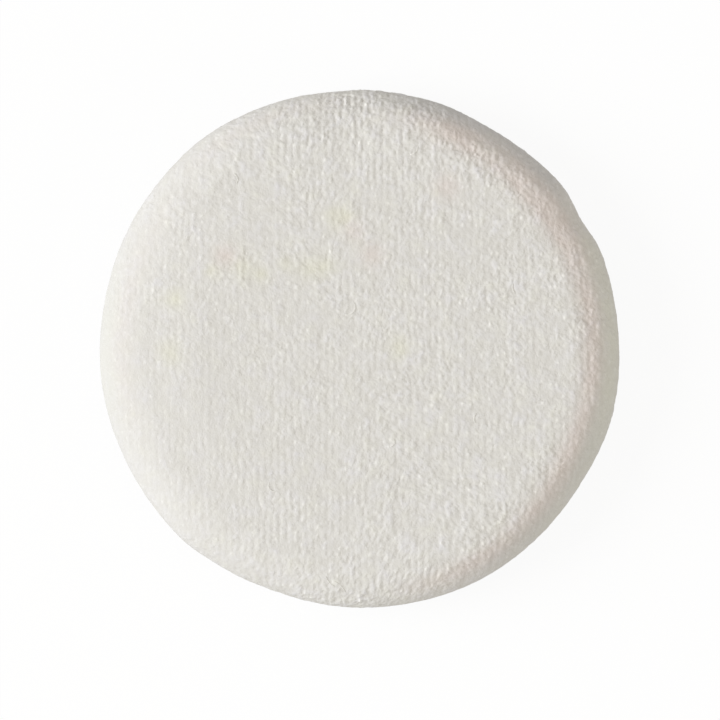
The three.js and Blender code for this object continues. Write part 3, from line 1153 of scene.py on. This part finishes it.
def makeFoam():
    bm = bmesh.new()
    corners = [bm.verts.new((r, 0, seamHeight + h)) for r, h in foamSection()]
    edges = [bm.edges.new(pair) for pair in zip(corners, corners[1:])]
    for edge in edges[:]:
        cuts = int(edge.calc_length() / foam["step"])
        if cuts:
            bmesh.ops.subdivide_edges(bm, edges=[edge], cuts=cuts)
    bmesh.ops.spin(bm, geom=bm.verts[:] + bm.edges[:], cent=(0, 0, 0), axis=(0, 0, 1), angle=2 * math.pi,
                   steps=foam["turnSteps"], use_merge=True)
    bmesh.ops.remove_doubles(bm, verts=bm.verts, dist=foam["weld"])
    bmesh.ops.recalc_face_normals(bm, faces=bm.faces)
    mesh = bpy.data.meshes.new("foam_disc")
    storeSmooth(bm, mesh)
    points = coordinates(mesh)
    angle = anglesOf(points)
    points = fromPolar(shapedRadius(radiiOf(points), angle), angle, points[:, 2])
    setCoordinates(mesh, points)
    pit = np.random.default_rng(foam["seed"]).uniform(0, 1, len(points)) ** foam["pitPower"]
    setCoordinates(mesh, points - normals(mesh) * (pit * foam["pitDepth"])[:, None])
    mesh.materials.append(makeFoamMaterial())
    disc = linkPiece("foam_disc", mesh)
    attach(disc, "puff")
    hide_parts("foam_pad")
    print("foam disc:", len(mesh.polygons), "faces")


makeFoam()


# Thread of the machine seam and of the hand-sewn closing: two plies twisted along a running stitch
thread = {
    "diameter": 0.3 * mm,
    "stitchLength": 5.5 * mm,
    "dip": 0.5 * mm,            # along the seam, from either side of a hole into it
    "tail": 1.8 * mm,
    "turningGap": 20 * mm,
    "closingAngle": 55,
    "seat": 0.03 * mm,          # space over the turned-in edge that it lies on
    "twist": 0.7 * mm,          # length of one turn of the plies
    "step": 0.07 * mm,
    "light": (0.86, 0.84, 0.79),
    "dark": (0.70, 0.67, 0.61),
    "fibreScale": 7000,
    "fibreDetail": 3,
    "fibreDistortion": 0.5,
    "bumpDistance": 0.03 * mm,
    "bumpStrength": 0.7,
    "roughness": 0.7,
    "specular": 0.3,
    "sheen": 0.1,
    "sheenRoughness": 0.4,
}
stitchRadius = seamRadius - (puff["allowanceWidth"] + puff["panelThickness"]) / 2


def makeThreadMaterial():
    material, tree, shader = startMaterial("spun_thread", thread)
    place = tree.nodes.new("ShaderNodeTexCoord")
    fibre = addNode(tree, "ShaderNodeTexNoise", Scale=thread["fibreScale"], Detail=thread["fibreDetail"],
                    Distortion=thread["fibreDistortion"])
    tree.links.new(place.outputs["Object"], fibre.inputs["Vector"])
    share = spreadOut(tree, fibre.outputs["Fac"], 0, 1)
    tree.links.new(mixColour(tree, share, thread["dark"], thread["light"]), shader.inputs["Base Color"])
    addBump(tree, shader, fibre.outputs["Fac"], thread)
    return material


def stitchHoles(start, end):
    count = max(2, round((end - start) * stitchRadius / thread["stitchLength"]))
    return start + (end - start) / count * (np.arange(count) + 0.5)


# the thread lies in turn on the face's turned-in edge and under the back's
def stitchLine(holes):
    tail = thread["tail"] / stitchRadius
    first, last = holes[0] - tail, holes[-1] + tail
    angle = np.linspace(first, last, int((last - first) * stitchRadius / thread["step"]))
    side = np.ones_like(angle)
    for hole in holes:
        side = side * (1 - 2 * smoothStep((angle - hole) * stitchRadius, -thread["dip"], thread["dip"]))
    line = fromPolar(shapedRadius(stitchRadius, angle), angle, np.full_like(angle, seamHeight))
    lift = puff["seamHalfGap"] + puff["allowanceThickness"] + thread["seat"] + thread["diameter"] / 2
    lift = lift + (bandRoom["halfHeight"] - puff["seamHalfGap"]) * roomForBand(line)
    line[:, 2] += side * lift
    return line


def unit(vectors):
    return vectors / np.linalg.norm(vectors, axis=1, keepdims=True)


def addPly(data, line, turn):
    along = unit(np.gradient(line, axis=0))
    sideways = unit(np.cross(along, line * (1, 1, 0)))
    outwards = np.cross(sideways, along)
    travel = np.concatenate([[0], np.cumsum(np.linalg.norm(np.diff(line, axis=0), axis=1))])
    phase = (2 * math.pi * travel / thread["twist"] + turn)[:, None]
    points = line + thread["diameter"] / 4 * (np.cos(phase) * outwards + np.sin(phase) * sideways)
    spline = data.splines.new("POLY")
    spline.points.add(len(points) - 1)
    spline.points.foreach_set("co", np.column_stack([points, np.ones(len(points))]).ravel())


def makeThread(name, node, start, end, material):
    line = stitchLine(stitchHoles(start, end))
    data = roundCurve(name, thread["diameter"] / 2)
    for turn in (0, math.pi):
        addPly(data, line, turn)
    mesh = meshFromCurve(data)
    mesh.materials.clear()
    mesh.materials.append(material)
    piece = linkPiece(name, mesh)
    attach(piece, "puff")
    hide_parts(node)
    print(name + ":", len(mesh.polygons), "faces")


spunThread = makeThreadMaterial()
gapMiddle = math.radians(thread["closingAngle"])
gapHalf = thread["turningGap"] / 2 / stitchRadius
makeThread("closing_stitches", "closing_thread", gapMiddle - gapHalf, gapMiddle + gapHalf, spunThread)
makeThread("seam_stitches", "seam_thread", gapMiddle + gapHalf, gapMiddle + 2 * math.pi - gapHalf, spunThread)
